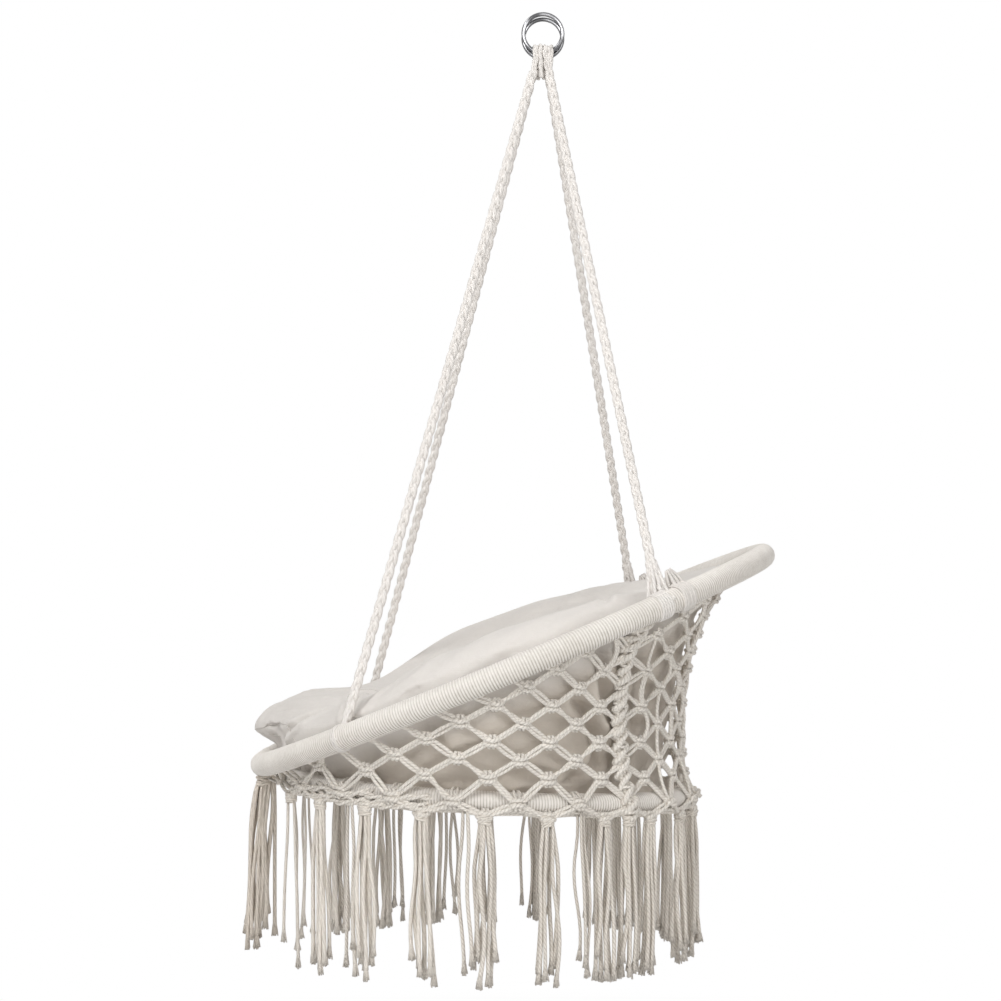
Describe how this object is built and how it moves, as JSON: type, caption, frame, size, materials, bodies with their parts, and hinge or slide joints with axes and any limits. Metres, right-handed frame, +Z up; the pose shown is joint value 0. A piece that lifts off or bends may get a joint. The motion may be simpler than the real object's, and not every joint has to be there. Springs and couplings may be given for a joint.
{
  "type": "hanging hammock chair",
  "caption": "Round hammock chair: two cord-wrapped hoops, knotted net bowl, thick cushion and tassel fringe, hung by ropes from steel rings so that it swings.",
  "frame": {"origin": "where a hook bears inside the first steel ring, at the top of the ring's inner edge", "axes": "+Z up, +Y towards the back of the chair, +X towards the sitter's left; the sitter faces -Y"},
  "size_m": [0.7974, 0.7414, 1.338],
  "materials": {
    "ring_steel": "polished",
    "tube_steel": "satin",
    "cord": "matt twisted cotton",
    "cushion_cloth": "matt plain weave"
  },
  "bodies": {
    "upper_ring": {"hanging_ring_first": "ring_steel"},
    "lower_ring": {"hanging_ring_second": "ring_steel"},
    "chair": {"rope_head": "cord", "rope_front_left": "cord", "rope_front_right": "cord", "rope_rear_left": "cord", "rope_rear_right": "cord", "rope_tie_front_left": "cord", "rope_tie_front_right": "cord", "rope_tie_rear_left": "cord", "rope_tie_rear_right": "cord", "upper_hoop_tube": "tube_steel", "upper_hoop_wrap": "cord", "lower_hoop_tube": "tube_steel", "lower_hoop_wrap": "cord", "cushion_strap_left": "cushion_cloth", "cushion_strap_right": "cushion_cloth", "side_net_left_1": "cord", "side_net_left_2": "cord", "side_net_left_3": "cord", "back_net_1": "cord", "back_net_2": "cord", "back_net_3": "cord", "side_net_right_1": "cord", "side_net_right_2": "cord", "side_net_right_3": "cord", "sennit_left": "cord", "sennit_right": "cord", "seat_net": "cord", "front_lashing_left": "cord", "front_lashing_right": "cord", "cushion": "cushion_cloth", "tassel_01": "cord", "tassel_02": "cord", "tassel_03": "cord", "tassel_04": "cord", "tassel_05": "cord", "tassel_06": "cord", "tassel_07": "cord", "tassel_08": "cord", "tassel_09": "cord", "tassel_10": "cord", "tassel_11": "cord", "tassel_12": "cord", "tassel_13": "cord", "tassel_14": "cord", "tassel_15": "cord", "tassel_16": "cord", "tassel_17": "cord", "tassel_18": "cord", "tassel_19": "cord", "tassel_20": "cord", "tassel_sennit_left": "cord", "tassel_sennit_right": "cord", "tassel_front_left": "cord", "tassel_front_right": "cord"}
  },
  "joints": [
    {"name": "swing_fore_aft", "type": "hinge", "parent": "upper_ring", "child": "lower_ring", "pos_m": [0, 0, -0.025], "axis": [1, 0, 0], "range_deg": [-28, 28]},
    {"name": "swing_sideways", "type": "hinge", "parent": "lower_ring", "child": "chair", "pos_m": [0, 0, -0.056], "axis": [0, 1, 0], "range_deg": [-15, 15]}
  ]
}
